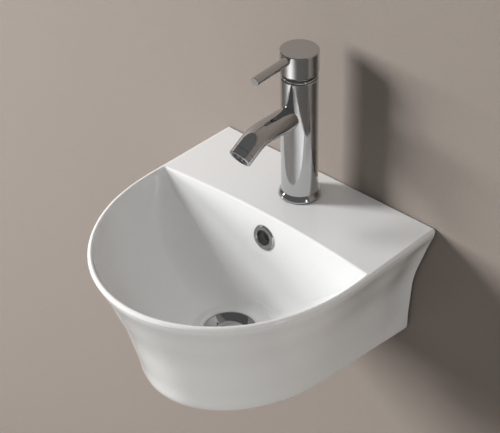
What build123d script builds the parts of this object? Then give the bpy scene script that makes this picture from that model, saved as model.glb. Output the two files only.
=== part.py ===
from build123d import *
import os
from math import acos, atan2, cos, radians, sin, sqrt

os.makedirs("parts", exist_ok=True)

# ---------------------------------------------------------------------------
# Driving dimensions, in millimetres.
# X runs across the basin, -Y out of the wall, +Z up.
# The origin is on the wall, midway between the two wall-fixing holes.
# ---------------------------------------------------------------------------

# Ceramic body, outside
deck_z = 55.0               # deck above the wall-fixing holes
basin_height = 168.0
rim_half = 166.9            # outer half width at the rim
rim_side = 144.0            # from the wall to where the front curve of the rim starts
rim_front = 196.0           # depth of that front curve
base_wall_half = 131.8      # half width of the bottom edge at the wall
base_half = 122.0           # half width where the bottom edge's front curve starts
base_side = 120.0
base_front = 166.2
rim_band = 6.0              # height of the rounded bead around the rim
bead_step = 1.5             # how far the bead stands out at the front tip
bead_step_wall = 0.15       # the same at the wall
bead_lower_radius = 2.0
flare_depth = 84.0          # deck to the bend where the sides stop flaring
flare_share = 0.80          # share of the taper that lies above the bend
flare_softness = 0.05       # how gently the sides bend there, as a share of the taper
front_straightness = 0.65   # how far the front tip's profile is a plain straight taper
flute_depth = 3.0           # shallow flute down each side, beside the wall
flute_y = 22.0              # its distance from the wall
rim_outer_radius = 3.5
base_edge_radius = 2.5

# Ceramic body, walls
skirt_wall = 9.0
back_wall = 11.0
deck_wall = 12.0
bowl_wall = 9.0
floor_wall = 12.0
solid_rim_depth = 58.0      # depth over which rim, skirt and bowl are one thick wall

# Bowl
rim_wall = 6.0              # thickness of the rim around the bowl
bowl_lip_radius = 2.4
bowl_depth = 134.0
bowl_corner_y = 118.0       # wall to the bowl's two back corners
bowl_back_bow = 9.5         # how far the back edge bows towards the wall
floor_back_bow = 2.0        # the same at the floor
bowl_back_lean = 15.5       # how far the back wall leans forward over the bowl's depth
floor_half = 46.0           # half width of the bowl's floor
floor_corner = 18.0         # half width of the floor where it meets the back wall

# Wall fixing
fixing_spacing = 180.0
fixing_hole_radius = 7.0

# Waste, on the bowl's centre line
drain_y = 174.4             # wall to the drain's axis
waste_seat_radius = 34.0
waste_seat_drop = 1.6       # bowl's floor down to the rim of the flange's seat
waste_seat_cone = 5.5       # how far the seat falls from its rim to the hole
waste_dish_radius = 38.0    # where the floor starts to fall to the seat
waste_hole_radius = 23.0
waste_boss_radius = 35.0
gallery_radius = 28.0       # ring-shaped overflow gallery in the boss
gallery_drop = 8.0          # seat to the top of the gallery
gallery_height = 10.0

# Overflow
overflow_drop = 32.0        # deck to the overflow hole
overflow_hole_radius = 12.6
overflow_ring_radius = 16.0
overflow_ring_bore = 9.8
overflow_ring_lip = 2.4     # how far the ring stands out of its seat
overflow_ring_edge = 1.4    # rounding of its outer edge
overflow_seat_depth = 0.8
overflow_tube_length = 7.0
duct_half = 14.0            # overflow duct behind the back wall, inside
duct_gap = 10.0
duct_y = 102.0              # wall to the duct's front face
duct_drop = 18.0            # deck to the duct's top
duct_wall = 7.0

# Waste fitting
flange_radius = 32.0
flange_edge = 1.6
flange_seal_thickness = 1.0
flange_seal_setback = 1.0   # from the edges of the seat and the flange
flange_land = 1.5           # flat edge around the flange's dish
dish_depth = 7.5            # flange's edge down to its throat
dish_sag = 0.7              # how far the dish's profile hangs below a straight cone
throat_radius = 18.7
throat_height = 3.5
throat_step = 1.0           # height of the slope from the throat into the bore
waste_thread_radius = 20.95
waste_bore_radius = 17.4
waste_length = 72.0         # seat to the end of the tail
relief_drop = 1.5           # backnut to the relief groove between the two threads of the tail
relief_width = 2.0
relief_depth = 0.9
slot_half_width = 7.0       # overflow slots in the waste's tube
slot_count = 4
slot_margin = 1.5           # slots end this far inside the gallery
lower_seal_radius = 30.0
lower_seal_thickness = 4.0
lower_seal_chamfer = 1.0
slip_washer_radius = 29.0
slip_washer_thickness = 1.5
backnut_flats = 52.0
backnut_height = 9.0
backnut_corner = 1.5
spider_drop = 34.0          # seat to the top of the spider that carries the plug guide
spider_height = 5.0
spider_arms = 3
spider_arm_half = 2.2
spider_hub_radius = 9.5

# Plug
plug_radius = 16.6
plug_dome = 4.0
plug_edge = 2.0
plug_level = 1.0            # plug's edge below the rim of the flange's seat when open
plug_seal_radius = 18.3
plug_seal_thickness = 2.0
plug_spindle_radius = 4.0
plug_collar_radius = 8.0
plug_collar_thickness = 1.5
plug_spindle_depth = 2.5    # how far the spindle is screwed into the cap
plug_foot_thickness = 2.0
guide_radius = 6.2
guide_wall = 1.4
guide_cap = 1.5
guide_rise = 20.0           # top of the guide above the spider
guide_fall = 6.0            # foot of the guide below the spider's top
guide_collar_radius = 8.5
guide_collar_thickness = 2.0
spring_wire_radius = 0.4
spring_radius = 3.9
spring_turns = 7

# Tap, on the basin's centre line
tap_y = 48.8                # wall to the tap's axis
tap_hole_radius = 17.5
body_radius = 22.3
body_top = 162.5            # deck to the top of the body
body_edge = 0.8
foot_radius = 25.75
foot_height = 9.0
foot_rebate = 2.3           # step in the body that the foot fits under
foot_edge = 1.6             # upright edge of the foot
foot_belly = 0.4            # how far its slope bulges
base_seal_thickness = 1.2
base_seal_setback = 0.8
spigot_radius = 16.6        # spigot of the body in the tap hole
spigot_length = 6.0
spigot_wall = 1.8
inlet_level = 2.0           # deck up to the face that the supply tails screw into
inlet_radius = 5.0          # threaded inlets for the supply tails
inlet_half_spacing = 8.0
inlet_depth = 14.0
inlet_y = 2.0               # inlets behind the tap's axis
waterway_radius = 3.2
waterway_y = 5.5            # waterways behind the tap's axis
outlet_port_y = 7.0         # outlet port in front of the axis
stud_radius = 4.0
stud_y = 10.5               # fixing stud in front of the tap's axis
stud_engagement = 15.0
stud_length = 68.0
stud_chamfer = 0.8
horseshoe_radius = 26.0
horseshoe_seal_thickness = 3.0
horseshoe_thickness = 3.0
horseshoe_setback = 1.5
horseshoe_slot_half = 14.0
horseshoe_slot_y = 3.4      # front of the slot, in front of the tap's axis
stud_nut_flats = 13.0
stud_nut_height = 12.0

# Spout
spout_level = 115.2         # deck to the spout's centre line
spout_radius = 14.1
spout_bore = 9.5
spout_straight = 62.2       # tap's axis to where the spout starts to bend
spout_bend_radius = 40.0
spout_bend_angle = 30.0
spout_end_run = 12.8        # straight run from the bend to the aerator
spout_shoulder = 6.5        # depth to which the spout is set into the body
aerator_length = 9.0
aerator_edge = 0.6
aerator_thread_radius = 12.5
aerator_thread_length = 5.0
aerator_bore = 11.4
aerator_lip = 0.8
aerator_lip_height = 1.4
aerator_insert_height = 6.0
aerator_hole_radius = 2.5
aerator_hole_ring = 6.8       # centre of the insert to the centres of its outer holes
aerator_hole_count = 6
aerator_washer_thickness = 1.4
aerator_washer_bore = 8.6

# Cartridge
cartridge_seat = 132.0      # deck to the cartridge's seat in the body
cartridge_radius = 17.3
cartridge_base_height = 4.0
cartridge_inner_radius = 14.8
cartridge_top = 158.0       # deck to the top of the cartridge's housing
cartridge_cap = 2.3
disc_thickness = 4.0
disc_gap = 0.1
moving_disc_radius = 10.4
mixing_pocket_length = 14.5
mixing_pocket_depth = 2.0
carrier_radius = 9.4
carrier_height = 5.0
rotor_height = 6.0
rotor_slot_half = 7.5
neck_radius = 10.7
neck_top = 163.0            # deck to the top of the rotor's neck
pivot_level = 158.2         # deck to the lever's pivot
pivot_pin_radius = 1.5
pin_setback = 1.0           # ends of the pin, inside the neck
ball_radius = 2.8
ball_level = 147.6
stem_radius = 2.3
square_bottom = 153.0
square_half = 4.0           # half width of the spindle's square
square_top = 189.0
nut_thread_radius = 18.6
nut_collar_radius = 20.4
nut_collar_top = 168.4
nut_bore_radius = 12.6
nut_slots = 4
nut_slot_half = 2.0
nut_slot_depth = 2.0

# Handle
head_radius = 23.0
head_bottom = 169.9         # deck to the handle's lower edge
head_top = 197.6
head_edge = 0.7
head_wall = 1.9
head_ceiling = 177.5
lever_radius = 5.35
lever_reach = 51.7          # how far the lever stands out of the handle
lever_level = 191.1         # its height above the deck where it leaves the handle
lever_drop_angle = 3.5
lever_seat = 9.0            # its depth in the handle
lever_end_radius = 0.6
grub_radius = 2.5
grub_length = 8.0
grub_level = 183.5
grub_socket_radius = 1.3
grub_socket_depth = 3.0

# Clearances
fit = 0.1                   # between pieces that are fixed to each other
slide_fit = 0.3             # between pieces that move on each other
pin_fit = 0.05              # between the pivot pin and its holes
over = 1.0                  # how far a cut runs past the face it opens

# ---------------------------------------------------------------------------
# Levels that follow from the sizes above
# ---------------------------------------------------------------------------
floor_z = deck_z - bowl_depth
seat_z = floor_z - waste_seat_drop
gallery_top_z = seat_z - gallery_drop
gallery_bottom_z = gallery_top_z - gallery_height
boss_bottom_z = gallery_bottom_z - duct_wall
lower_seal_z = boss_bottom_z - lower_seal_thickness
slip_washer_z = lower_seal_z - slip_washer_thickness
backnut_z = slip_washer_z - backnut_height
relief_z = backnut_z - relief_drop
lean = atan2(bowl_back_lean, bowl_depth)

drain_plane = Plane(origin=(0, -drain_y, 0), x_dir=(1, 0, 0), z_dir=(0, -1, 0))
drain_axis = Axis((0, -drain_y, 0), (0, 0, 1))
tap_plane = Plane(origin=(0, -tap_y, deck_z), x_dir=(1, 0, 0), z_dir=(0, -1, 0))
tap_axis = Axis((0, -tap_y, 0), (0, 0, 1))

# The overflow ring's seat, square to the leaning back wall and cut a little into it
overflow_wall_y = bowl_corner_y - bowl_back_bow + overflow_drop * bowl_back_lean / bowl_depth
overflow_plane = Plane(
    origin=(
        0,
        -overflow_wall_y + overflow_seat_depth * cos(lean),
        deck_z - overflow_drop - overflow_seat_depth * sin(lean),
    ),
    x_dir=(1, 0, 0),
    z_dir=(0, -cos(lean), sin(lean)),
)
overflow_hole_length = overflow_wall_y - duct_y + duct_gap / 2

# ---------------------------------------------------------------------------
# Shared shapes
# ---------------------------------------------------------------------------


def blend(start, end, share):
    return start + (end - start) * share


def mirrored(half):
    """A half outline, wall to tip, continued to the other side of the centre line."""
    return half + [(-x, y) for x, y in reversed(half[:-1])]


side_steps = (0.0, flute_y / rim_side, 0.36, 0.68)
front_angles = (0, 18, 36, 54, 72, 90)
outline_count = 7
outline_depths = [basin_height * number / outline_count for number in range(1, outline_count + 1)]


def taper_at(depth, forward):
    """Share of the taper from rim to base at a depth below the deck.

    forward is 0 at the wall and 1 at the front tip."""
    below = max(depth - rim_band, 0.0)
    straight = below / (basin_height - rim_band)
    flare = flare_share * below / (flare_depth - rim_band)
    foot = 1 - (1 - flare_share) * (basin_height - depth) / (basin_height - flare_depth)
    at_wall = (flare + foot - sqrt((flare - foot) ** 2 + flare_softness**2)) / 2
    return blend(max(at_wall, 0.0), straight, front_straightness * forward)


def outer_outline(depth, inset=0.0, start_y=0.0, bead=False):
    """Outline of the basin's outside at one depth, from wall to wall around the front.

    inset moves it inwards, start_y is where its ends are, in front of the wall, and bead asks
    for the bead around the rim and not for the side under it, which stands back from it."""
    points = []
    for step in side_steps:
        forward = step * rim_side / (rim_side + rim_front)
        share = taper_at(depth, forward)
        side = blend(rim_side, base_side, share)
        x = blend(rim_half, blend(base_wall_half, base_half, step), share) - inset
        if step == side_steps[1]:
            x -= flute_depth * 4 * share * (1 - share)
        if not bead:
            x -= blend(bead_step_wall, bead_step, forward) * (1 - share)
        points.append((x, -step * side if step else -start_y))
    for angle in front_angles:
        turn = radians(angle)
        forward = (rim_side + rim_front * sin(turn)) / (rim_side + rim_front)
        share = taper_at(depth, forward)
        side = blend(rim_side, base_side, share)
        half = blend(rim_half, base_half, share) - inset
        front = blend(rim_front, base_front, share) - inset
        if not bead:
            half -= blend(bead_step_wall, bead_step, forward) * (1 - share)
            front -= blend(bead_step_wall, bead_step, forward) * (1 - share)
        points.append((half * cos(turn), -side - front * sin(turn)))
    return mirrored(points)


# Bowl levels: share of the depth, then how much of the rim's half width, corner and front depth
# is left over the floor's, and the radius of the two back corners
bowl_levels = (
    (0.00, 1.000, 1.000, 1.000, 2.5),
    (0.09, 0.975, 0.945, 0.985, 4.0),
    (0.25, 0.895, 0.840, 0.930, 8.0),
    (0.42, 0.775, 0.640, 0.835, 11.0),
    (0.60, 0.610, 0.440, 0.690, 12.0),
    (0.78, 0.410, 0.225, 0.480, 11.0),
    (0.90, 0.225, 0.080, 0.270, 9.0),
    (0.97, 0.080, 0.020, 0.100, 8.0),
    (1.00, 0.000, 0.000, 0.000, 7.0),
)


def bowl_outline(level, grow=0.0):
    """The bowl's outline at one level: its front curve and the middle of its back edge.

    grow moves it outwards."""
    depth_share, width_share, corner_share, front_share, corner_radius = level
    rim_inner = rim_half - rim_wall
    half = blend(floor_half, rim_inner, width_share) + grow
    corner = blend(floor_corner, rim_inner - 0.5, corner_share) + grow
    centre = blend(drain_y, rim_side, width_share)
    front = blend(floor_half, rim_front - rim_wall, front_share) + grow
    lean_y = (bowl_back_lean - bowl_back_bow + floor_back_bow) * depth_share
    corner_y = bowl_corner_y + lean_y - grow
    back = (centre - corner_y) / sqrt(1 - (corner / half) ** 2)
    turn = acos(corner / half) / 2
    points = [(corner, -corner_y), (half * cos(turn), -centre + back * sin(turn)), (half, -centre)]
    for angle in (22.5, 45, 67.5, 90):
        points.append((half * cos(radians(angle)), -centre - front * sin(radians(angle))))
    bow = blend(bowl_back_bow, floor_back_bow, depth_share)
    return mirrored(points), (0, -corner_y + bow)


# ---------------------------------------------------------------------------
# Ceramic basin
# ---------------------------------------------------------------------------

# The bowl's hollow, with a rounded lip at its mouth
with BuildPart() as bowl_void:
    for level in bowl_levels:
        outline, back_middle = bowl_outline(level)
        depth = max(bowl_depth * level[0], bowl_lip_radius)
        with BuildSketch(Plane.XY.offset(deck_z - depth)) as section:
            with BuildLine():
                Spline(*outline)
                ThreePointArc(outline[-1], back_middle, outline[0])
            make_face()
            fillet(section.vertices(), radius=level[4])
    loft()
    for turn in (0, 30, 60, 90):
        grow = bowl_lip_radius * (1 - sin(radians(turn)))
        depth = bowl_lip_radius * (1 - cos(radians(turn)))
        outline, back_middle = bowl_outline(bowl_levels[0], grow)
        with BuildSketch(Plane.XY.offset(deck_z - depth)) as section:
            with BuildLine():
                Spline(*outline)
                ThreePointArc(outline[-1], back_middle, outline[0])
            make_face()
            fillet(section.vertices(), radius=bowl_levels[0][4] + grow)
    loft()

# The bowl's outside, seen from below, with the solid band around the rim
with BuildPart() as bowl_shell:
    for level in bowl_levels[3:-2]:
        outline, back_middle = bowl_outline(level, bowl_wall)
        with BuildSketch(Plane.XY.offset(deck_z - bowl_depth * level[0])) as section:
            with BuildLine():
                Spline(*outline)
                ThreePointArc(outline[-1], back_middle, outline[0])
            make_face()
            fillet(section.vertices(), radius=level[4])
    outline, back_middle = bowl_outline(bowl_levels[-1], bowl_wall)
    with BuildSketch(Plane.XY.offset(floor_z - floor_wall)) as section:
        with BuildLine():
            Spline(*outline)
            ThreePointArc(outline[-1], back_middle, outline[0])
        make_face()
        fillet(section.vertices(), radius=bowl_levels[-1][4])
    loft()
    rim_back_y = bowl_corner_y - bowl_back_bow - bowl_wall
    rim_tip_y = rim_side + rim_front + over
    with BuildSketch(Plane.XY.offset(deck_z)):
        with Locations((0, -(rim_back_y + rim_tip_y) / 2)):
            Rectangle(2 * (rim_half + over), rim_tip_y - rim_back_y)
    extrude(amount=-solid_rim_depth)

# The hollow under the deck and around the bowl, open below
with BuildPart() as underside_void:
    for depth in [deck_wall] + outline_depths + [basin_height + deck_wall]:
        outline = outer_outline(depth, skirt_wall, back_wall)
        with BuildSketch(Plane.XY.offset(deck_z - depth)):
            with BuildLine():
                Spline(*outline)
                Line(outline[-1], outline[0])
            make_face()
    loft()
    add(bowl_shell.part, mode=Mode.SUBTRACT)

# The bead around the rim, as a full plate
with BuildPart() as rim_bead:
    outline = outer_outline(0, start_y=-over, bead=True)
    with BuildSketch(Plane.XY.offset(deck_z)):
        with BuildLine():
            Spline(*outline)
            Line(outline[-1], outline[0])
        make_face()
    extrude(amount=-rim_band)
    fillet(rim_bead.faces().sort_by(Axis.Z)[-1].edges().sort_by(Axis.Y)[0], radius=rim_outer_radius)
    fillet(rim_bead.faces().sort_by(Axis.Z)[0].edges().sort_by(Axis.Y)[0], radius=bead_lower_radius)

with BuildPart() as ceramic_basin:
    for depth in [rim_band / 2, rim_band] + outline_depths:
        outline = outer_outline(depth, start_y=-over)
        with BuildSketch(Plane.XY.offset(deck_z - depth)):
            with BuildLine():
                Spline(*outline)
                Line(outline[-1], outline[0])
            make_face()
    loft()
    fillet(ceramic_basin.faces().sort_by(Axis.Z)[0].edges().sort_by(Axis.Y)[0], radius=base_edge_radius)
    add(rim_bead.part)
    # ground flat where it meets the wall
    split(bisect_by=Plane.XZ, keep=Keep.TOP)
    add(underside_void.part, mode=Mode.SUBTRACT)
    # boss under the drain
    with BuildSketch(Plane.XY.offset(boss_bottom_z)):
        with Locations((0, -drain_y)):
            Circle(waste_boss_radius)
    extrude(amount=seat_z - boss_bottom_z)
    # overflow duct, outside: down behind the bowl, then forward to the boss
    duct_front_y = duct_y + duct_wall
    duct_rear_y = duct_y - duct_gap - duct_wall
    duct_top_z = deck_z - duct_drop + duct_wall
    duct_roof_z = gallery_top_z + duct_wall / 2
    with BuildSketch(Plane.YZ):
        with BuildLine():
            Polyline(
                (-duct_front_y, duct_top_z),
                (-duct_rear_y, duct_top_z),
                (-duct_rear_y, boss_bottom_z),
                (-drain_y, boss_bottom_z),
                (-drain_y, duct_roof_z),
                (-duct_front_y, duct_roof_z),
                close=True,
            )
        make_face()
    extrude(amount=duct_half + duct_wall, both=True)
    add(bowl_void.part, mode=Mode.SUBTRACT)
    # dished floor, seat and hole of the waste, with the overflow gallery around it
    with BuildSketch(drain_plane):
        with BuildLine():
            Polyline(
                (0, floor_z + over),
                (waste_dish_radius, floor_z + over),
                (waste_dish_radius, floor_z),
                (waste_seat_radius, seat_z),
                (waste_hole_radius, seat_z - waste_seat_cone),
                (waste_hole_radius, gallery_top_z),
                (gallery_radius, gallery_top_z),
                (gallery_radius, gallery_bottom_z),
                (waste_hole_radius, gallery_bottom_z),
                (waste_hole_radius, boss_bottom_z - over),
                (0, boss_bottom_z - over),
                close=True,
            )
        make_face()
    revolve(axis=drain_axis, mode=Mode.SUBTRACT)
    # overflow duct, inside
    with BuildSketch(Plane.YZ):
        with BuildLine():
            Polyline(
                (-duct_y, deck_z - duct_drop),
                (-duct_y + duct_gap, deck_z - duct_drop),
                (-duct_y + duct_gap, gallery_bottom_z),
                (-drain_y + waste_hole_radius, gallery_bottom_z),
                (-drain_y + waste_hole_radius, gallery_top_z),
                (-duct_y, gallery_top_z),
                close=True,
            )
        make_face()
    extrude(amount=duct_half, both=True, mode=Mode.SUBTRACT)
    # overflow hole and the flat seat of its ring
    with BuildSketch(overflow_plane):
        Circle(overflow_ring_radius + fit)
    extrude(amount=overflow_ring_radius, mode=Mode.SUBTRACT)
    with BuildSketch(overflow_plane):
        Circle(overflow_hole_radius)
    extrude(amount=-overflow_hole_length, mode=Mode.SUBTRACT)
    # tap hole
    with BuildSketch(Plane.XY.offset(deck_z)):
        with Locations((0, -tap_y)):
            Circle(tap_hole_radius)
    extrude(amount=-deck_wall - over, mode=Mode.SUBTRACT)
    # wall-fixing holes
    with BuildSketch(Plane.XZ):
        with GridLocations(fixing_spacing, 0, 2, 1):
            Circle(fixing_hole_radius)
    extrude(amount=back_wall + over, mode=Mode.SUBTRACT)
ceramic_basin.part.label = "ceramic_basin"
export_step(ceramic_basin.part, "parts/ceramic_basin.step")

# ---------------------------------------------------------------------------
# Overflow ring, pressed into the overflow hole
# ---------------------------------------------------------------------------
with BuildPart() as overflow_ring:
    with BuildSketch(overflow_plane):
        Circle(overflow_ring_radius)
    extrude(amount=overflow_ring_lip)
    ring_front = overflow_ring.faces().sort_by(Axis.Y)[0]
    fillet(ring_front.edges(), radius=overflow_ring_edge)
    with BuildSketch(overflow_plane):
        Circle(overflow_hole_radius - fit)
    extrude(amount=-overflow_tube_length)
    with BuildSketch(overflow_plane.offset(overflow_ring_lip + over)):
        Circle(overflow_ring_bore)
    extrude(amount=-overflow_ring_lip - overflow_tube_length - 2 * over, mode=Mode.SUBTRACT)
overflow_ring.part.label = "overflow_ring"
export_step(overflow_ring.part, "parts/overflow_ring.step")

# ---------------------------------------------------------------------------
# Waste: flange seal, slotted body with its dished flange, lower seal, slip washer, backnut
# ---------------------------------------------------------------------------


def seal_level(radius):
    """Height of the flange seal's underside, on its conical seat, at a radius from the drain's axis."""
    fall = (waste_seat_radius - radius) / (waste_seat_radius - waste_hole_radius)
    return seat_z - waste_seat_cone * fall + fit


seal_inner = waste_hole_radius + flange_seal_setback
seal_outer = flange_radius - flange_seal_setback
with BuildPart() as waste_flange_seal:
    with BuildSketch(drain_plane):
        with BuildLine():
            Polyline(
                (seal_inner, seal_level(seal_inner)),
                (seal_outer, seal_level(seal_outer)),
                (seal_outer, seal_level(seal_outer) + flange_seal_thickness),
                (seal_inner, seal_level(seal_inner) + flange_seal_thickness),
                close=True,
            )
        make_face()
    revolve(axis=drain_axis)
waste_flange_seal.part.label = "waste_flange_seal"
export_step(waste_flange_seal.part, "parts/waste_flange_seal.step")

flange_under_z = seal_level(flange_radius) + flange_seal_thickness
flange_top_z = flange_under_z + flange_edge
dish_rim = flange_radius - flange_land
throat_z = flange_top_z - dish_depth
tail_z = seat_z - waste_length
spider_z = seat_z - spider_drop
tube_middle = (waste_bore_radius + waste_thread_radius) / 2
with BuildPart() as waste_body:
    with BuildSketch(drain_plane):
        with BuildLine():
            ThreePointArc(
                (dish_rim, flange_top_z),
                ((dish_rim + throat_radius) / 2, flange_top_z - dish_depth / 2 - dish_sag),
                (throat_radius, throat_z),
            )
            Polyline(
                (throat_radius, throat_z),
                (throat_radius, throat_z - throat_height),
                (waste_bore_radius, throat_z - throat_height - throat_step),
                (waste_bore_radius, tail_z),
                (waste_thread_radius, tail_z),
                (waste_thread_radius, relief_z - relief_width),
                (waste_thread_radius - relief_depth, relief_z - relief_width),
                (waste_thread_radius - relief_depth, relief_z),
                (waste_thread_radius, relief_z),
                (waste_thread_radius, seal_level(waste_hole_radius)),
                (waste_hole_radius, seal_level(waste_hole_radius) + flange_seal_thickness),
                (flange_radius, flange_under_z),
                (flange_radius, flange_top_z),
                (dish_rim, flange_top_z),
            )
        make_face()
    revolve(axis=drain_axis)
    # spider across the bore, which carries the plug's guide
    with BuildSketch(Plane.XY.offset(spider_z - spider_height)):
        with Locations((0, -drain_y)):
            Circle(spider_hub_radius)
            with PolarLocations(0, spider_arms):
                Rectangle(tube_middle, 2 * spider_arm_half, align=(Align.MIN, Align.CENTER))
    extrude(amount=spider_height)
    with BuildSketch(Plane.XY.offset(spider_z)):
        with Locations((0, -drain_y)):
            Circle(guide_radius + fit)
    extrude(amount=-spider_height, mode=Mode.SUBTRACT)
    # overflow slots beside the gallery
    with BuildSketch(Plane.XY.offset(gallery_bottom_z + slot_margin)):
        with Locations((0, -drain_y)):
            with PolarLocations(0, slot_count, start_angle=180 / slot_count):
                Rectangle(waste_hole_radius, 2 * slot_half_width, align=(Align.MIN, Align.CENTER))
    extrude(amount=gallery_height - 2 * slot_margin, mode=Mode.SUBTRACT)
waste_body.part.label = "waste_body"
export_step(waste_body.part, "parts/waste_body.step")

with BuildPart() as waste_lower_seal:
    with BuildSketch(Plane.XY.offset(lower_seal_z)):
        with Locations((0, -drain_y)):
            Circle(lower_seal_radius)
            Circle(waste_thread_radius + fit, mode=Mode.SUBTRACT)
    extrude(amount=lower_seal_thickness)
    lower_edge = waste_lower_seal.edges().group_by(Axis.Z)[0].sort_by(SortBy.LENGTH)[-1]
    chamfer(lower_edge, length=lower_seal_chamfer)
waste_lower_seal.part.label = "waste_lower_seal"
export_step(waste_lower_seal.part, "parts/waste_lower_seal.step")

with BuildPart() as waste_slip_washer:
    with BuildSketch(Plane.XY.offset(slip_washer_z)):
        with Locations((0, -drain_y)):
            Circle(slip_washer_radius)
            Circle(waste_thread_radius + fit, mode=Mode.SUBTRACT)
    extrude(amount=slip_washer_thickness)
waste_slip_washer.part.label = "waste_slip_washer"
export_step(waste_slip_washer.part, "parts/waste_slip_washer.step")

with BuildPart() as waste_backnut:
    with BuildSketch(Plane.XY.offset(backnut_z)):
        with Locations((0, -drain_y)):
            RegularPolygon(backnut_flats / 2, 6, major_radius=False)
            Circle(waste_thread_radius + fit, mode=Mode.SUBTRACT)
    extrude(amount=backnut_height)
    hex_edges = waste_backnut.faces().filter_by(GeomType.PLANE).filter_by(Axis.Z, reverse=True).edges()
    fillet(hex_edges.filter_by(Axis.Z), radius=backnut_corner)
waste_backnut.part.label = "waste_backnut"
export_step(waste_backnut.part, "parts/waste_backnut.step")

# ---------------------------------------------------------------------------
# Plug: domed cap, seal and spindle, rising and falling in a guide with a spring
# ---------------------------------------------------------------------------
cap_z = seat_z - plug_level
plug_seal_z = cap_z - plug_seal_thickness
guide_top_z = spider_z + guide_rise
guide_foot_z = spider_z - guide_fall
guide_inner = guide_radius - guide_wall
plug_foot_z = guide_top_z - guide_cap - slide_fit - plug_foot_thickness

with BuildPart() as plug_cap:
    with BuildSketch(drain_plane):
        with BuildLine():
            Polyline(
                (0, cap_z + plug_edge + plug_dome),
                (0, cap_z + plug_spindle_depth),
                (plug_spindle_radius + fit, cap_z + plug_spindle_depth),
                (plug_spindle_radius + fit, cap_z),
                (plug_radius, cap_z),
                (plug_radius, cap_z + plug_edge),
            )
            TangentArc(
                (0, cap_z + plug_edge + plug_dome), (plug_radius, cap_z + plug_edge), tangent=(1, 0)
            )
        make_face()
    revolve(axis=drain_axis)
plug_cap.part.label = "plug_cap"
export_step(plug_cap.part, "parts/plug_cap.step")

with BuildPart() as plug_seal:
    with BuildSketch(Plane.XY.offset(plug_seal_z)):
        with Locations((0, -drain_y)):
            Circle(plug_seal_radius)
            Circle(plug_spindle_radius + fit, mode=Mode.SUBTRACT)
    extrude(amount=plug_seal_thickness)
plug_seal.part.label = "plug_seal"
export_step(plug_seal.part, "parts/plug_seal.step")

with BuildPart() as plug_spindle:
    with BuildSketch(Plane.XY.offset(plug_foot_z)):
        with Locations((0, -drain_y)):
            Circle(plug_spindle_radius)
    extrude(amount=cap_z + plug_spindle_depth - plug_foot_z)
    with BuildSketch(Plane.XY.offset(plug_foot_z)):
        with Locations((0, -drain_y)):
            Circle(guide_inner - slide_fit)
    extrude(amount=plug_foot_thickness)
    with BuildSketch(Plane.XY.offset(plug_seal_z - plug_collar_thickness)):
        with Locations((0, -drain_y)):
            Circle(plug_collar_radius)
    extrude(amount=plug_collar_thickness)
plug_spindle.part.label = "plug_spindle"
export_step(plug_spindle.part, "parts/plug_spindle.step")

with BuildPart() as plug_guide:
    with BuildSketch(drain_plane):
        with BuildLine():
            Polyline(
                (0, guide_foot_z - guide_wall),
                (guide_radius, guide_foot_z - guide_wall),
                (guide_radius, spider_z),
                (guide_collar_radius, spider_z),
                (guide_collar_radius, spider_z + guide_collar_thickness),
                (guide_radius, spider_z + guide_collar_thickness),
                (guide_radius, guide_top_z),
                (plug_spindle_radius + slide_fit, guide_top_z),
                (plug_spindle_radius + slide_fit, guide_top_z - guide_cap),
                (guide_inner, guide_top_z - guide_cap),
                (guide_inner, guide_foot_z),
                (0, guide_foot_z),
                close=True,
            )
        make_face()
    revolve(axis=drain_axis)
plug_guide.part.label = "plug_guide"
export_step(plug_guide.part, "parts/plug_guide.step")

spring_bottom_z = guide_foot_z + spring_wire_radius
spring_height = plug_foot_z - guide_foot_z - 2 * spring_wire_radius
with BuildPart() as plug_spring:
    with BuildLine():
        coil = Helix(
            pitch=spring_height / spring_turns,
            height=spring_height,
            radius=spring_radius,
            center=(0, -drain_y, spring_bottom_z),
        )
    with BuildSketch(Plane(origin=coil @ 0, z_dir=coil % 0)):
        Circle(spring_wire_radius)
    sweep(is_frenet=True)
plug_spring.part.label = "plug_spring"
export_step(plug_spring.part, "parts/plug_spring.step")

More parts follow.
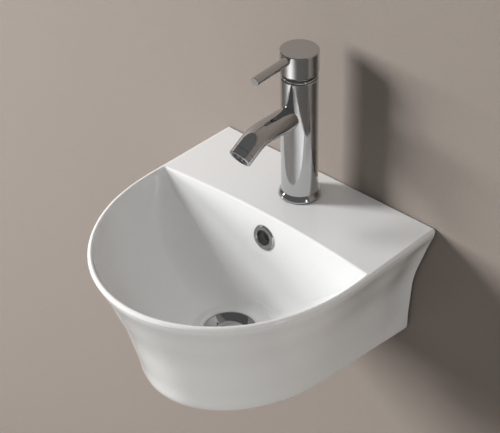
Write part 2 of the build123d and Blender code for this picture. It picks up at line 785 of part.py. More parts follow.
# ---------------------------------------------------------------------------
# Tap body, with its foot and base seal
# ---------------------------------------------------------------------------
body_lower_radius = body_radius - foot_rebate
with BuildPart() as tap_body:
    with BuildSketch(tap_plane):
        with BuildLine():
            Polyline(
                (0, inlet_level),
                (spigot_radius - spigot_wall, inlet_level),
                (spigot_radius - spigot_wall, -spigot_length),
                (spigot_radius, -spigot_length),
                (spigot_radius, base_seal_thickness),
                (body_lower_radius, base_seal_thickness),
                (body_lower_radius, foot_height),
                (body_radius, foot_height),
                (body_radius, body_top - body_edge),
                (body_radius - body_edge, body_top),
                (nut_thread_radius + fit, body_top),
                (nut_thread_radius + fit, cartridge_top),
                (cartridge_radius + fit, cartridge_top),
                (cartridge_radius + fit, cartridge_seat),
                (0, cartridge_seat),
                close=True,
            )
        make_face()
    revolve(axis=tap_axis)
    # socket and bore of the spout
    with BuildSketch(tap_plane.offset(body_radius - spout_shoulder)):
        with Locations((0, spout_level)):
            Circle(spout_radius + fit)
    extrude(amount=spout_shoulder + over, mode=Mode.SUBTRACT)
    with BuildSketch(tap_plane):
        with Locations((0, spout_level)):
            Circle(spout_bore)
    extrude(amount=body_radius, mode=Mode.SUBTRACT)
    # outlet port, from the cartridge's seat down to the spout's bore
    with BuildSketch(Plane.XY.offset(deck_z + cartridge_seat)):
        with Locations((0, -tap_y - outlet_port_y)):
            Circle(waterway_radius)
    extrude(amount=spout_level - cartridge_seat, mode=Mode.SUBTRACT)
    # hot and cold waterways, and their threaded inlets
    with BuildSketch(Plane.XY.offset(deck_z + cartridge_seat)):
        with Locations((0, waterway_y - tap_y)):
            with GridLocations(2 * inlet_half_spacing, 0, 2, 1):
                Circle(waterway_radius)
    extrude(amount=inlet_level + inlet_depth - cartridge_seat - over, mode=Mode.SUBTRACT)
    with BuildSketch(Plane.XY.offset(deck_z + inlet_level)):
        with Locations((0, inlet_y - tap_y)):
            with GridLocations(2 * inlet_half_spacing, 0, 2, 1):
                Circle(inlet_radius)
    extrude(amount=inlet_depth, mode=Mode.SUBTRACT)
    # threaded hole of the fixing stud
    with BuildSketch(Plane.XY.offset(deck_z + inlet_level)):
        with Locations((0, -tap_y - stud_y)):
            Circle(stud_radius + fit)
    extrude(amount=stud_engagement + over, mode=Mode.SUBTRACT)
tap_body.part.label = "tap_body"
export_step(tap_body.part, "parts/tap_body.step")

with BuildPart() as tap_foot:
    with BuildSketch(tap_plane):
        with BuildLine():
            Polyline(
                (body_radius, foot_height),
                (body_lower_radius + fit, foot_height),
                (body_lower_radius + fit, base_seal_thickness),
                (foot_radius, base_seal_thickness),
                (foot_radius, base_seal_thickness + foot_edge),
            )
            SagittaArc(
                (body_radius, foot_height), (foot_radius, base_seal_thickness + foot_edge), foot_belly
            )
        make_face()
    revolve(axis=tap_axis)
tap_foot.part.label = "tap_foot"
export_step(tap_foot.part, "parts/tap_foot.step")

with BuildPart() as tap_base_seal:
    with BuildSketch(Plane.XY.offset(deck_z)):
        with Locations((0, -tap_y)):
            Circle(foot_radius - base_seal_setback)
            Circle(spigot_radius + fit, mode=Mode.SUBTRACT)
    extrude(amount=base_seal_thickness)
tap_base_seal.part.label = "tap_base_seal"
export_step(tap_base_seal.part, "parts/tap_base_seal.step")

# ---------------------------------------------------------------------------
# Spout and aerator
# ---------------------------------------------------------------------------
spout_z = deck_z + spout_level
spout_start_y = -tap_y - body_radius + spout_shoulder
with BuildPart() as tap_spout:
    with BuildLine(Plane.YZ) as spout_path:
        run = Line((spout_start_y, spout_z), (-tap_y - spout_straight, spout_z))
        bend = JernArc(run @ 1, run % 1, spout_bend_radius, spout_bend_angle)
        end_run = Line(bend @ 1, bend @ 1 + spout_end_run * (bend % 1))
    with BuildSketch(Plane(origin=run @ 0, x_dir=(1, 0, 0), z_dir=run % 0)):
        Circle(spout_radius)
        Circle(spout_bore, mode=Mode.SUBTRACT)
    sweep(path=spout_path.line)
    spout_end = Plane(origin=end_run @ 1, x_dir=(1, 0, 0), z_dir=end_run % 1)
    with BuildSketch(spout_end):
        Circle(aerator_thread_radius + fit)
    extrude(amount=-aerator_thread_length - aerator_washer_thickness, mode=Mode.SUBTRACT)
tap_spout.part.label = "tap_spout"
export_step(tap_spout.part, "parts/tap_spout.step")

with BuildPart() as aerator_housing:
    with BuildSketch(spout_end):
        Circle(spout_radius)
    extrude(amount=aerator_length)
    chamfer(aerator_housing.edges().filter_by(GeomType.CIRCLE), length=aerator_edge)
    with BuildSketch(spout_end):
        Circle(aerator_thread_radius)
    extrude(amount=-aerator_thread_length)
    with BuildSketch(spout_end.offset(-aerator_thread_length - over)):
        Circle(aerator_bore)
    extrude(amount=aerator_thread_length + aerator_length - aerator_lip_height + over, mode=Mode.SUBTRACT)
    with BuildSketch(spout_end):
        Circle(aerator_bore - aerator_lip)
    extrude(amount=aerator_length + over, mode=Mode.SUBTRACT)
aerator_housing.part.label = "aerator_housing"
export_step(aerator_housing.part, "parts/aerator_housing.step")

insert_end = aerator_length - aerator_lip_height
with BuildPart() as aerator_insert:
    with BuildSketch(spout_end.offset(insert_end)):
        Circle(aerator_bore - fit)
        Circle(aerator_hole_radius, mode=Mode.SUBTRACT)
        with PolarLocations(aerator_hole_ring, aerator_hole_count):
            Circle(aerator_hole_radius, mode=Mode.SUBTRACT)
    extrude(amount=-aerator_insert_height)
aerator_insert.part.label = "aerator_insert"
export_step(aerator_insert.part, "parts/aerator_insert.step")

with BuildPart() as aerator_washer:
    with BuildSketch(spout_end.offset(-aerator_thread_length)):
        Circle(aerator_thread_radius)
        Circle(aerator_washer_bore, mode=Mode.SUBTRACT)
    extrude(amount=-aerator_washer_thickness + fit)
aerator_washer.part.label = "aerator_washer"
export_step(aerator_washer.part, "parts/aerator_washer.step")

# ---------------------------------------------------------------------------
# Cartridge: base, housing, two ceramic discs, carrier, rotor, pin, spindle and its nut
# ---------------------------------------------------------------------------
port_places = (
    (0, -tap_y - outlet_port_y),
    (-inlet_half_spacing, -tap_y + waterway_y),
    (inlet_half_spacing, -tap_y + waterway_y),
)
housing_level = cartridge_seat + cartridge_base_height
with BuildPart() as cartridge_base:
    with BuildSketch(Plane.XY.offset(deck_z + cartridge_seat)):
        with Locations((0, -tap_y)):
            Circle(cartridge_radius)
        with Locations(*port_places):
            Circle(waterway_radius, mode=Mode.SUBTRACT)
    extrude(amount=cartridge_base_height)
cartridge_base.part.label = "cartridge_base"
export_step(cartridge_base.part, "parts/cartridge_base.step")

with BuildPart() as cartridge_housing:
    with BuildSketch(tap_plane):
        with BuildLine():
            Polyline(
                (cartridge_inner_radius, housing_level),
                (cartridge_radius, housing_level),
                (cartridge_radius, cartridge_top),
                (neck_radius + slide_fit, cartridge_top),
                (neck_radius + slide_fit, cartridge_top - cartridge_cap),
                (cartridge_inner_radius, cartridge_top - cartridge_cap),
                close=True,
            )
        make_face()
    revolve(axis=tap_axis)
cartridge_housing.part.label = "cartridge_housing"
export_step(cartridge_housing.part, "parts/cartridge_housing.step")

with BuildPart() as fixed_disc:
    with BuildSketch(Plane.XY.offset(deck_z + housing_level)):
        with Locations((0, -tap_y)):
            Circle(cartridge_inner_radius - fit)
        with Locations(*port_places):
            Circle(waterway_radius, mode=Mode.SUBTRACT)
    extrude(amount=disc_thickness)
fixed_disc.part.label = "fixed_disc"
export_step(fixed_disc.part, "parts/fixed_disc.step")

moving_disc_level = housing_level + disc_thickness + disc_gap
with BuildPart() as moving_disc:
    with BuildSketch(Plane.XY.offset(deck_z + moving_disc_level)):
        with Locations((0, -tap_y)):
            Circle(moving_disc_radius)
    extrude(amount=disc_thickness)
    # mixing pocket on the underside
    with BuildSketch(Plane.XY.offset(deck_z + moving_disc_level)):
        with Locations((0, -tap_y - waterway_radius)):
            SlotOverall(mixing_pocket_length, 2 * waterway_radius)
    extrude(amount=mixing_pocket_depth, mode=Mode.SUBTRACT)
moving_disc.part.label = "moving_disc"
export_step(moving_disc.part, "parts/moving_disc.step")

carrier_level = moving_disc_level + disc_thickness
socket_level = ball_level - ball_radius - slide_fit
with BuildPart() as disc_carrier:
    with BuildSketch(Plane.XY.offset(deck_z + carrier_level)):
        with Locations((0, -tap_y)):
            Circle(carrier_radius)
    extrude(amount=carrier_height)
    with BuildSketch(Plane.XY.offset(deck_z + socket_level)):
        with Locations((0, -tap_y)):
            Circle(ball_radius + slide_fit)
    extrude(amount=carrier_height, mode=Mode.SUBTRACT)
disc_carrier.part.label = "disc_carrier"
export_step(disc_carrier.part, "parts/disc_carrier.step")

rotor_top = cartridge_top - cartridge_cap - slide_fit
rotor_level = rotor_top - rotor_height
with BuildPart() as cartridge_rotor:
    with BuildSketch(tap_plane):
        with BuildLine():
            Polyline(
                (0, rotor_level),
                (cartridge_inner_radius - slide_fit, rotor_level),
                (cartridge_inner_radius - slide_fit, rotor_top),
                (neck_radius, rotor_top),
                (neck_radius, neck_top),
                (0, neck_top),
                close=True,
            )
        make_face()
    revolve(axis=tap_axis)
    with BuildSketch(Plane.XY.offset(deck_z + neck_top)):
        with Locations((0, -tap_y)):
            Rectangle(2 * (square_half + slide_fit), 2 * rotor_slot_half)
    extrude(amount=rotor_level - neck_top, mode=Mode.SUBTRACT)
    with BuildSketch(Plane.YZ):
        with Locations((-tap_y, deck_z + pivot_level)):
            Circle(pivot_pin_radius + pin_fit)
    extrude(amount=neck_radius, both=True, mode=Mode.SUBTRACT)
cartridge_rotor.part.label = "cartridge_rotor"
export_step(cartridge_rotor.part, "parts/cartridge_rotor.step")

with BuildPart() as pivot_pin:
    with BuildSketch(Plane.YZ):
        with Locations((-tap_y, deck_z + pivot_level)):
            Circle(pivot_pin_radius)
    extrude(amount=neck_radius - pin_setback, both=True)
pivot_pin.part.label = "pivot_pin"
export_step(pivot_pin.part, "parts/pivot_pin.step")

with BuildPart() as cartridge_spindle:
    with BuildSketch(Plane.XY.offset(deck_z + square_bottom)):
        with Locations((0, -tap_y)):
            Rectangle(2 * square_half, 2 * square_half)
    extrude(amount=square_top - square_bottom)
    with BuildSketch(Plane.XY.offset(deck_z + square_bottom)):
        with Locations((0, -tap_y)):
            Circle(stem_radius)
    extrude(amount=ball_level - square_bottom)
    with Locations((0, -tap_y, deck_z + ball_level)):
        Sphere(ball_radius)
    with BuildSketch(Plane.YZ):
        with Locations((-tap_y, deck_z + pivot_level)):
            Circle(pivot_pin_radius + pin_fit)
    extrude(amount=square_half + over, both=True, mode=Mode.SUBTRACT)
cartridge_spindle.part.label = "cartridge_spindle"
export_step(cartridge_spindle.part, "parts/cartridge_spindle.step")

with BuildPart() as cartridge_nut:
    with BuildSketch(tap_plane):
        with BuildLine():
            Polyline(
                (nut_bore_radius, cartridge_top),
                (nut_thread_radius, cartridge_top),
                (nut_thread_radius, body_top),
                (nut_collar_radius, body_top),
                (nut_collar_radius, nut_collar_top - body_edge),
                (nut_collar_radius - body_edge, nut_collar_top),
                (nut_bore_radius, nut_collar_top),
                close=True,
            )
        make_face()
    revolve(axis=tap_axis)
    # slots for the spanner
    with BuildSketch(Plane.XY.offset(deck_z + nut_collar_top)):
        with Locations((0, -tap_y)):
            with PolarLocations(0, nut_slots, start_angle=180 / nut_slots):
                Rectangle(nut_collar_radius, 2 * nut_slot_half, align=(Align.MIN, Align.CENTER))
            Circle(nut_thread_radius, mode=Mode.INTERSECT)
    extrude(amount=-nut_slot_depth, mode=Mode.SUBTRACT)
cartridge_nut.part.label = "cartridge_nut"
export_step(cartridge_nut.part, "parts/cartridge_nut.step")

# ---------------------------------------------------------------------------
# Handle: head, lever and grub screw
# ---------------------------------------------------------------------------
lever_turn = radians(lever_drop_angle)
lever_plane = Plane(
    origin=(0, -tap_y - head_radius, deck_z + lever_level),
    x_dir=(1, 0, 0),
    z_dir=(0, -cos(lever_turn), -sin(lever_turn)),
)
with BuildPart() as lever_head:
    with BuildSketch(tap_plane):
        with BuildLine():
            Polyline(
                (0, head_ceiling),
                (head_radius - head_wall, head_ceiling),
                (head_radius - head_wall, head_bottom),
                (head_radius - head_edge, head_bottom),
                (head_radius, head_bottom + head_edge),
                (head_radius, head_top - head_edge),
                (head_radius - head_edge, head_top),
                (0, head_top),
                close=True,
            )
        make_face()
    revolve(axis=tap_axis)
    # socket for the spindle's square
    with BuildSketch(Plane.XY.offset(deck_z + head_ceiling)):
        with Locations((0, -tap_y)):
            Rectangle(2 * (square_half + fit), 2 * (square_half + fit))
    extrude(amount=square_top - head_ceiling + fit, mode=Mode.SUBTRACT)
    # threaded hole of the lever
    with BuildSketch(lever_plane.offset(over)):
        Circle(lever_radius + fit)
    extrude(amount=-lever_seat - over - fit, mode=Mode.SUBTRACT)
    # hole of the grub screw, from the back
    with BuildSketch(tap_plane.offset(-head_radius - over)):
        with Locations((0, grub_level)):
            Circle(grub_radius + fit)
    extrude(amount=head_radius + over, mode=Mode.SUBTRACT)
lever_head.part.label = "lever_head"
export_step(lever_head.part, "parts/lever_head.step")

with BuildPart() as lever_pin:
    with BuildSketch(lever_plane.offset(-lever_seat)):
        Circle(lever_radius)
    extrude(amount=lever_seat + lever_reach)
    fillet(lever_pin.faces().sort_by(Axis.Y)[0].edges(), radius=lever_end_radius)
lever_pin.part.label = "lever_pin"
export_step(lever_pin.part, "parts/lever_pin.step")

with BuildPart() as grub_screw:
    with BuildSketch(tap_plane.offset(-square_half - fit)):
        with Locations((0, grub_level)):
            Circle(grub_radius)
    extrude(amount=-grub_length)
    with BuildSketch(tap_plane.offset(-square_half - fit - grub_length)):
        with Locations((0, grub_level)):
            RegularPolygon(grub_socket_radius, 6)
    extrude(amount=grub_socket_depth, mode=Mode.SUBTRACT)
grub_screw.part.label = "grub_screw"
export_step(grub_screw.part, "parts/grub_screw.step")

# ---------------------------------------------------------------------------
# Fixing below the deck: stud, horseshoe seal and washer, nut
# ---------------------------------------------------------------------------
stud_top_z = deck_z + inlet_level + stud_engagement
with BuildPart() as fixing_stud:
    with BuildSketch(Plane.XY.offset(stud_top_z)):
        with Locations((0, -tap_y - stud_y)):
            Circle(stud_radius)
    extrude(amount=-stud_length)
    chamfer(fixing_stud.edges().filter_by(GeomType.CIRCLE), length=stud_chamfer)
fixing_stud.part.label = "fixing_stud"
export_step(fixing_stud.part, "parts/fixing_stud.step")

# The slot that lets the supply tails past is open to the back
deck_under_z = deck_z - deck_wall
horseshoe_slot_length = horseshoe_radius + horseshoe_slot_y
horseshoe_slot_place = (0, -tap_y - horseshoe_slot_y)
slot_align = (Align.CENTER, Align.MIN)
with BuildPart() as horseshoe_seal:
    with BuildSketch(Plane.XY.offset(deck_under_z)):
        with Locations((0, -tap_y)):
            Circle(horseshoe_radius)
        with Locations(horseshoe_slot_place):
            Rectangle(2 * horseshoe_slot_half, horseshoe_slot_length, align=slot_align, mode=Mode.SUBTRACT)
        with Locations((0, -tap_y - stud_y)):
            Circle(stud_radius + fit, mode=Mode.SUBTRACT)
    extrude(amount=-horseshoe_seal_thickness)
horseshoe_seal.part.label = "horseshoe_seal"
export_step(horseshoe_seal.part, "parts/horseshoe_seal.step")

horseshoe_z = deck_under_z - horseshoe_seal_thickness
with BuildPart() as horseshoe_washer:
    with BuildSketch(Plane.XY.offset(horseshoe_z)):
        with Locations((0, -tap_y)):
            Circle(horseshoe_radius - horseshoe_setback)
        with Locations(horseshoe_slot_place):
            Rectangle(2 * horseshoe_slot_half, horseshoe_slot_length, align=slot_align, mode=Mode.SUBTRACT)
        with Locations((0, -tap_y - stud_y)):
            Circle(stud_radius + fit, mode=Mode.SUBTRACT)
    extrude(amount=-horseshoe_thickness)
horseshoe_washer.part.label = "horseshoe_washer"
export_step(horseshoe_washer.part, "parts/horseshoe_washer.step")

with BuildPart() as stud_nut:
    with BuildSketch(Plane.XY.offset(horseshoe_z - horseshoe_thickness)):
        with Locations((0, -tap_y - stud_y)):
            RegularPolygon(stud_nut_flats / 2, 6, major_radius=False)
            Circle(stud_radius + fit, mode=Mode.SUBTRACT)
    extrude(amount=-stud_nut_height)
stud_nut.part.label = "stud_nut"
export_step(stud_nut.part, "parts/stud_nut.step")
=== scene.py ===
# %% [markdown]
# # A wall hung basin with its mixer tap and waste
#
# The real object is one big casting of glazed china with chrome plated brass fitted to it. The solids
# that make it up already stand in the right place at the right size, so this lesson is about
# finishes: what glaze, chrome, brass, rubber and moulded plastic look like close up, and how each
# can be made from numbers instead of pictures. A few things that solids leave plain, such as the
# screw threads, are built here as meshes.

import math

import bmesh
import bpy
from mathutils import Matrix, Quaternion, Vector


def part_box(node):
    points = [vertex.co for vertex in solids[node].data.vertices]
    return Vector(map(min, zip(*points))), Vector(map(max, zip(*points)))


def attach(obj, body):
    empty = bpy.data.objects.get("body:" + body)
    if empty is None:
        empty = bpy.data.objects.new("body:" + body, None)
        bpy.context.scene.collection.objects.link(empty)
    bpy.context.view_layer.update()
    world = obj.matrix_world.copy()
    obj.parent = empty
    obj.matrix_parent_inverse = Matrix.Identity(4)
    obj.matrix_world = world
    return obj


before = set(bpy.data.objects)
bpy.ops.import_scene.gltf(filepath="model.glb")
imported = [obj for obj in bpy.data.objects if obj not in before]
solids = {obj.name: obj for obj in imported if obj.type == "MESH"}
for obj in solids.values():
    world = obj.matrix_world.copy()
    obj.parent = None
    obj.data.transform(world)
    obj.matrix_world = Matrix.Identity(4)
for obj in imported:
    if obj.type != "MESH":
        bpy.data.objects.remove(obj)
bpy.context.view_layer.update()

# %% [markdown]
# The meshes of the solids are made of flat triangles. A glossy surface shows each of them unless its
# shading is smoothed, but a chamfer or a square edge has to stay crisp. Blender could split the mesh
# at its sharp edges with a modifier; marking the faces smooth and the sharp edges sharp gives the
# same look and leaves every vertex where it is.

# %% Smooth shading with crisp edges
CRISP = math.radians(28)


def smooth_faces(mesh, crisp=CRISP):
    """Shade a mesh smooth, apart from the edges where it turns by more than an angle."""
    mesh.polygons.foreach_set("use_smooth", [True] * len(mesh.polygons))
    mesh.set_sharp_from_angle(angle=crisp)


# %% [markdown]
# Materials are written as sums. A `Wire` is one value on its way through a material, and adding,
# multiplying or subtracting wires adds the Math node that does it. A `Bench` holds one material and
# its nodes: `make` puts a node on the bench, sets its settings, joins up its inputs and hands back
# what comes out. Building the same thing by hand in the shader editor gives the same nodes, but here
# a finish can be read like a recipe.

# %% Wires and benches


class Wire:
    """One value in a material. Arithmetic on it adds Math nodes."""

    def __init__(self, bench, socket):
        self.bench = bench
        self.socket = socket

    def maths(self, operation, *values):
        return self.bench.make("ShaderNodeMath", {"operation": operation}, values)

    def __add__(self, other):
        return self.maths("ADD", self, other)

    __radd__ = __add__

    def __mul__(self, other):
        return self.maths("MULTIPLY", self, other)

    __rmul__ = __mul__

    def __sub__(self, other):
        return self.maths("SUBTRACT", self, other)

    def __rsub__(self, other):
        return self.maths("SUBTRACT", other, self)

    def larger(self, other):
        return self.maths("MAXIMUM", self, other)

    def sine(self):
        return self.maths("SINE", self)

    def above(self, low, high):
        """0 below low, 1 above high, with a soft step between."""
        settings = {"interpolation_type": "SMOOTHSTEP"}
        inputs = {"Value": self, "From Min": low, "From Max": high}
        return self.bench.make("ShaderNodeMapRange", settings, inputs)


class Bench:
    """One material, the finish of some pieces, and the nodes on it."""

    def __init__(self, name):
        self.material = bpy.data.materials.new(name)
        self.material.use_nodes = True
        self.tree = self.material.node_tree
        self.tree.nodes.clear()

    def make(self, kind, settings=None, inputs=(), output=0):
        """Add a node, apply its settings, join or set its inputs, and return one output."""
        node = self.tree.nodes.new(kind)
        for key, value in (settings or {}).items():
            setattr(node, key, value)
        pairs = inputs.items() if isinstance(inputs, dict) else enumerate(inputs)
        for key, value in pairs:
            socket = node.inputs[key]
            if isinstance(value, Wire):
                self.tree.links.new(value.socket, socket)
            else:
                socket.default_value = value
        return Wire(self, node.outputs[output]) if node.outputs else node

    def place(self):
        """Where a point is on the object, in metres."""
        return self.make("ShaderNodeTexCoord", output="Object")

    def axes(self):
        """The same as three numbers."""
        split = self.make("ShaderNodeSeparateXYZ", inputs=(self.place(),)).socket.node
        return [Wire(self, split.outputs[name]) for name in "XYZ"]

    def stretched(self, x, y, z):
        """Places scaled along each axis, for grain that runs one way."""
        return self.make("ShaderNodeVectorMath", {"operation": "MULTIPLY"}, (self.place(), (x, y, z)))

    def noise(self, scale, detail=3.0, vector=None, roughness=0.5):
        """Cloudy noise from 0 to 1, scale bumps to the metre."""
        inputs = {"Vector": vector or self.place(), "Scale": scale, "Detail": detail, "Roughness": roughness}
        return self.make("ShaderNodeTexNoise", inputs=inputs)

    def cells(self, scale, output="Distance"):
        """Distance to the nearest of many scattered points, or a colour for each of them."""
        inputs = {"Vector": self.place(), "Scale": scale}
        return self.make("ShaderNodeTexVoronoi", inputs=inputs, output=output)

    def mix(self, share, one, other):
        """One colour where share is 0, the other where it is 1."""
        inputs = {0: share, 6: one, 7: other}
        inputs = {k: (*v, 1.0) if isinstance(v, tuple) and len(v) == 3 else v for k, v in inputs.items()}
        return self.make("ShaderNodeMix", {"data_type": "RGBA"}, inputs, output=2)

    def bump(self, height, depth, under=None):
        """A height map, depth metres deep, as a change of the surface's direction."""
        inputs = {"Height": height, "Distance": depth, "Strength": 1.0}
        if under is not None:
            inputs["Normal"] = under
        return self.make("ShaderNodeBump", inputs=inputs)

    def finish(self, colour, roughness, normal=None, **sockets):
        """Close the material with the one shader that every finish here uses."""
        inputs = {"Base Color": colour, "Roughness": roughness}
        if normal is not None:
            inputs["Normal"] = normal
        inputs.update({key.replace("_", " "): value for key, value in sockets.items()})
        if isinstance(inputs["Base Color"], tuple):
            inputs["Base Color"] = (*inputs["Base Color"], 1.0)
        shader = self.make("ShaderNodeBsdfPrincipled", inputs=inputs)
        self.make("ShaderNodeOutputMaterial", inputs=(shader,))
        print("finish", self.material.name, "has", len(self.tree.nodes), "nodes")
        return self.material


# %% [markdown]
# **Glazed china.** The body is vitreous china with a white glaze fired onto it. The glaze is what one
# sees: a hard clear skin, so smooth that lamps reflect in it, over a surface that scatters light. Its
# faults make it real: it pulls into a very faint orange peel, it is a touch warmer or cooler from
# place to place, and a few specks come up from the clay. The bottom edge and the face against the
# wall stand on the kiln shelf and stay unglazed, dull and a little cream.

# %% The glaze
BASE_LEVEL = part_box("ceramic_basin")[0].z
BARE_FOOT, GLAZED_FOOT = 0.0012, 0.0018
GLAZED_BACK, BARE_BACK = -0.0006, -0.0003
EDGE_WANDER = 0.0014


def make_glaze():
    bench = Bench("white_glaze")
    _, y, z = bench.axes()
    tone = bench.noise(9.0, 2.0)
    fine_tone = bench.noise(70.0, 3.0)
    specks = 1 - bench.cells(260.0).above(0.028, 0.05)
    rare = bench.noise(31.0, 1.0).above(0.60, 0.66)
    white = bench.mix(tone, (0.805, 0.806, 0.800), (0.785, 0.790, 0.788))
    white = bench.mix(fine_tone * 0.35, white, (0.815, 0.810, 0.800))
    white = bench.mix(specks * rare * 0.30, white, (0.42, 0.36, 0.30))
    wander = (bench.noise(120.0, 2.0) - 0.5) * EDGE_WANDER
    on_shelf = 1 - (z + wander).above(BASE_LEVEL + BARE_FOOT, BASE_LEVEL + GLAZED_FOOT)
    against_wall = (y + wander * 0.2).above(GLAZED_BACK, BARE_BACK)
    bare = on_shelf.larger(against_wall)
    clay = bench.mix(bench.noise(420.0, 4.0), (0.62, 0.585, 0.52), (0.70, 0.675, 0.62))
    colour = bench.mix(bare, white, clay)
    sheen = 0.075 + bench.noise(16.0, 2.0) * 0.05
    roughness = sheen + bare * 0.62
    peel = bench.bump(bench.noise(150.0, 1.0), 0.000035)
    grain = bench.bump(bench.noise(2600.0, 2.0) * bare, 0.00009, peel)
    return bench.finish(colour, roughness, grain, Coat_Weight=(1 - bare) * 0.6, Coat_Roughness=0.03)


GLAZE = make_glaze()

# %% [markdown]
# ** Chrome plate.** Brass is polished, nickelled and flashed with chrome. It has no colour of its own
# to speak of: it shows the room, a little darker and bluer. What tells it from a mirror is a faint
# haze from handling and a few dried water marks, so the roughness wanders and the surface has a
# ripple far too shallow to see by itself. The flange of the waste mirrors the shaded bowl and looks
# darker than the tap; that shade is painted in, as the same finish in a darker tone.

# %% Chrome


def make_chrome(name, dark, pale):
    bench = Bench(name)
    haze = bench.noise(38.0, 4.0, roughness=0.6)
    wiped = bench.noise(1.0, 3.0, bench.stretched(900.0, 900.0, 60.0))
    drops = 1 - bench.cells(170.0).above(0.16, 0.20)
    dried = drops * bench.noise(23.0, 1.0).above(0.60, 0.68)
    colour = bench.mix(haze, dark, pale)
    roughness = 0.045 + haze.above(0.35, 0.85) * 0.055 + wiped * 0.025 + dried * 0.05
    ripple = bench.bump(bench.noise(85.0, 1.0), 0.00003)
    return bench.finish(colour, roughness, ripple, Metallic=1.0)


CHROME = make_chrome("polished_chrome", (0.565, 0.573, 0.575), (0.605, 0.609, 0.611))
# Painted shade: the chrome of the waste is made darker to show the shaded bowl that it mirrors.
SHADED_CHROME = make_chrome("shaded_chrome", (0.400, 0.404, 0.408), (0.455, 0.457, 0.460))

# %% [markdown]
# **Bare brass and zinc plated steel** are what the plumber sees from below. Turned brass keeps the
# fine rings of the tool and goes brown where fingers and air reach it. Zinc plate is bluish and dull,
# with a spangle of small patches. Rings are a wave of the height; patches are cells.

# %% Brass and zinc
RINGS_PER_METRE = 9000.0


def make_brass():
    bench = Bench("turned_brass")
    z = bench.axes()[2]
    rings = (z * RINGS_PER_METRE).sine()
    tarnish = bench.noise(60.0, 5.0, roughness=0.65).above(0.42, 0.72)
    colour = bench.mix(tarnish, (0.66, 0.47, 0.19), (0.38, 0.25, 0.11))
    roughness = 0.24 + tarnish * 0.22
    tool = bench.bump(rings, 0.000012)
    return bench.finish(colour, roughness, tool, Metallic=1.0)


def make_zinc():
    bench = Bench("zinc_plate")
    patches = bench.cells(420.0, "Color")
    grey = bench.make("ShaderNodeRGBToBW", inputs=(patches,))
    dull = bench.noise(90.0, 4.0)
    colour = bench.mix(grey * 0.6, (0.50, 0.51, 0.53), (0.62, 0.63, 0.66))
    roughness = 0.30 + dull * 0.25
    skin = bench.bump(bench.noise(1400.0, 3.0), 0.00002)
    return bench.finish(colour, roughness, skin, Metallic=1.0)


BRASS = make_brass()
ZINC = make_zinc()

# %% [markdown]
# **Rubber and plastics.** Seals are moulded rubber, nearly black, with a bloom of pale wax in
# patches. Washers and cartridge bodies are moulded plastic: an even colour, a satin skin copied from
# the tool, and slight flow marks. The two discs that meter the water are fired alumina, lapped
# smooth. One recipe serves all of them with other numbers.

# %% Moulded finishes


def make_moulded(name, dark, pale, rough, grain):
    """A satin finish: two tones, a roughness and its change, the scale and depth of its grain."""
    bench = Bench(name)
    cloud = bench.noise(45.0, 3.0)
    flow = bench.noise(1.0, 2.0, bench.stretched(60.0, 60.0, 340.0))
    colour = bench.mix(cloud * 0.7 + flow * 0.3, dark, pale)
    evenness, change = rough
    scale, depth = grain
    roughness = evenness + cloud * change
    skin = bench.bump(bench.noise(scale, 3.0), depth)
    return bench.finish(colour, roughness, skin)


RUBBER = make_moulded(
    "seal_rubber", (0.018, 0.018, 0.019), (0.045, 0.044, 0.043), (0.55, 0.25), (1500.0, 0.00004)
)
WHITE_PLASTIC = make_moulded(
    "white_acetal", (0.66, 0.66, 0.63), (0.76, 0.76, 0.73), (0.34, 0.14), (900.0, 0.00002)
)
GREY_PLASTIC = make_moulded(
    "grey_cartridge", (0.11, 0.115, 0.125), (0.16, 0.165, 0.175), (0.42, 0.15), (1100.0, 0.00003)
)
ALUMINA = make_moulded(
    "lapped_alumina", (0.70, 0.69, 0.65), (0.78, 0.77, 0.74), (0.16, 0.10), (2200.0, 0.000006)
)

# %% [markdown]
# Every solid now gets its finish. The name of a solid says what it is, so the list is a small table
# from finish to names, and nothing is left without one.

# %% Finish every solid
FINISHES = {
    GLAZE: ["ceramic_basin"],
    CHROME: [
        "overflow_ring", "plug_cap", "tap_body", "tap_foot", "tap_spout", "aerator_housing",
        "cartridge_nut", "lever_head", "lever_pin",
    ],
    # The waste gets the darker chrome, whose tone is painted shade.
    SHADED_CHROME: ["waste_body"],
    BRASS: ["waste_backnut", "plug_spindle", "cartridge_spindle", "fixing_stud", "stud_nut"],
    ZINC: ["plug_spring", "pivot_pin", "grub_screw", "horseshoe_washer"],
    RUBBER: [
        "waste_flange_seal", "waste_lower_seal", "plug_seal", "tap_base_seal", "aerator_washer",
        "horseshoe_seal",
    ],
    WHITE_PLASTIC: ["waste_slip_washer", "plug_guide", "disc_carrier", "cartridge_rotor"],
    GREY_PLASTIC: ["cartridge_base", "cartridge_housing", "aerator_insert"],
    ALUMINA: ["fixed_disc", "moving_disc"],
}
for finish, names in FINISHES.items():
    for name in names:
        mesh = solids[name].data
        mesh.materials.clear()
        mesh.materials.append(finish)
        smooth_faces(mesh)
    print(finish.name, "on", ", ".join(names))
unfinished = set(solids) - {name for names in FINISHES.values() for name in names}
print("without a finish:", sorted(unfinished))

# %% [markdown]
# Pieces that are built here all end the same way: the drawn mesh becomes an object with a finish
# and rides on a body of the assembly. Doing that in one place keeps the functions below down to the
# shape alone.

# %% From a drawn mesh to a piece


def make_piece(name, mesh, crisp, finish, body):
    """Turn a drawn mesh into an object that rides on a body."""
    data = bpy.data.meshes.new(name)
    mesh.to_mesh(data)
    mesh.free()
    smooth_faces(data, crisp)
    data.materials.append(finish)
    piece = bpy.data.objects.new(name, data)
    bpy.context.scene.collection.objects.link(piece)
    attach(piece, body)
    print(name, "has", len(data.polygons), "faces")
    return piece


# %% [markdown]
# **Screw threads.** The tail of the waste and the stud under the tap are threaded over the length
# that shows. A thread is one ridge that winds up a cylinder. A screw modifier could spin a profile;
# laying the ridge out point by point is as short, and lets both ends fade into the shaft as a cut
# thread does.

# %% Threads
STEPS_PER_TURN = 48
ROOT_WIDTH, CREST_WIDTH = 0.84, 0.1344
ROOT_SUNK = 0.0001
THREAD_CRISP = math.radians(50)


